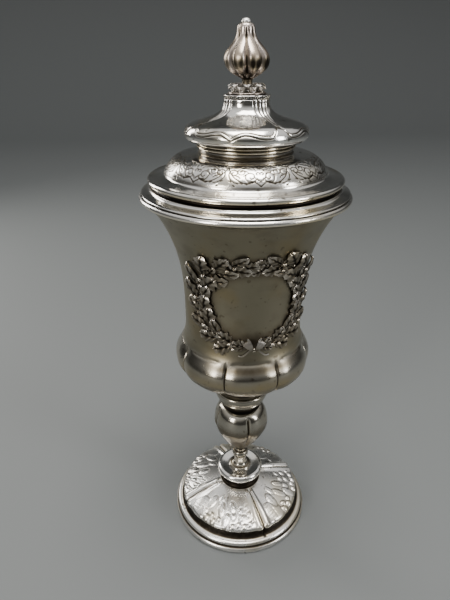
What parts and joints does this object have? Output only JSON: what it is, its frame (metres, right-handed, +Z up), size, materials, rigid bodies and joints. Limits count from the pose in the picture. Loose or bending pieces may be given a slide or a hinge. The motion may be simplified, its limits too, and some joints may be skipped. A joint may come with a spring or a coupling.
{
  "type": "silver-plated lidded goblet",
  "caption": "Standing presentation goblet: ringed domed foot, baluster stem, lobed bulb bowl with flared lip, applied leaf wreath and a loose domed lid with a bud finial.",
  "frame": {"origin": "centre of the foot's underside, on the surface that the goblet stands on", "axes": "+Z up along the goblet's axis; -Y is the front, with the wreath; +X is to the right of someone who faces the wreath"},
  "size_m": [0.106, 0.106, 0.2937],
  "materials": {
    "foot_silver": "bright silver plate, chased relief with dark recesses and worn warm high spots",
    "polished_silver": "polished silver plate with brown tarnish in the grooves",
    "satin_silver": "satin silver plate, grey-olive with fine scratches",
    "cast_silver": "cast and plated, bright leaf edges over black recesses",
    "lid_silver": "polished silver plate with bright-cut engraving"
  },
  "bodies": {
    "root": {"foot": "foot_silver", "foot_boss": "polished_silver", "stem": "polished_silver", "bowl": "satin_silver", "wreath": "cast_silver", "lid": "lid_silver", "finial_disk": "lid_silver", "finial": "cast_silver"}
  },
  "joints": []
}
